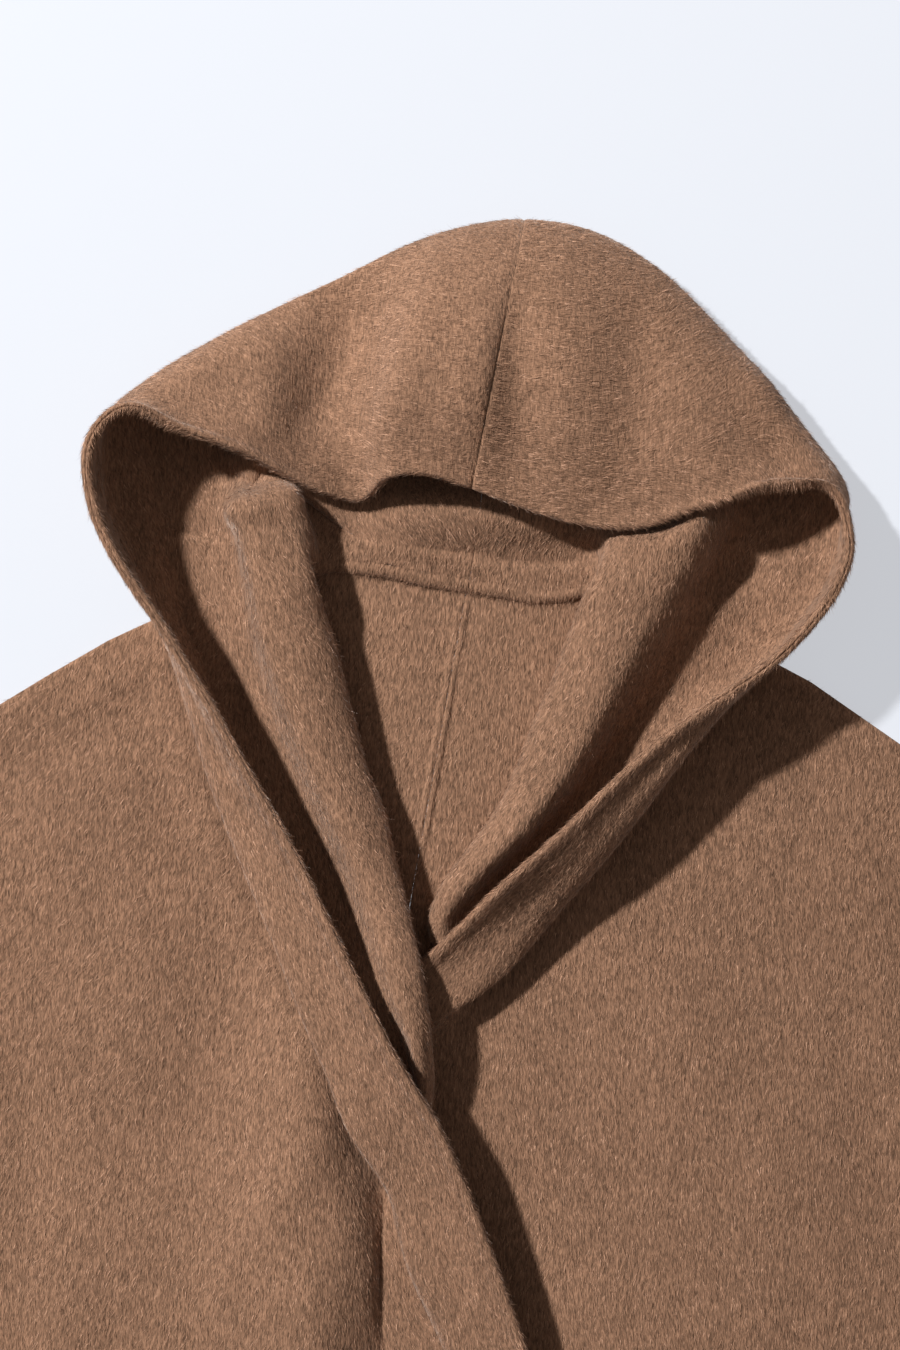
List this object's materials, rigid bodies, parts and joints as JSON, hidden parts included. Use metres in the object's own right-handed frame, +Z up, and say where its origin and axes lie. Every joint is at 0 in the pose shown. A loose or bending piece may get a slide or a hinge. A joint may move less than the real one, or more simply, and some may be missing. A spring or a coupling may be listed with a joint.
{
  "type": "hooded wool wrap coat",
  "caption": "Hooded wrap coat in brushed double-faced wool, laid flat face up with the front folded open at the neck.",
  "frame": {"origin": "middle of the coat's bounding box, on the surface that it lies on", "axes": "+Y from the hem to the hood, +X to the wearer's left, +Z up from the surface"},
  "size_m": [0.868, 1.2096, 0.0586],
  "materials": {
    "wool": "brushed camel-brown double-faced wool with a combed nap"
  },
  "bodies": {
    "root": {"front_right": "wool", "lapel_right": "wool", "hood_right": "wool", "front_left": "wool", "back_right": "wool", "back_left": "wool", "sleeve_right": "wool", "sleeve_left": "wool"}
  },
  "joints": []
}
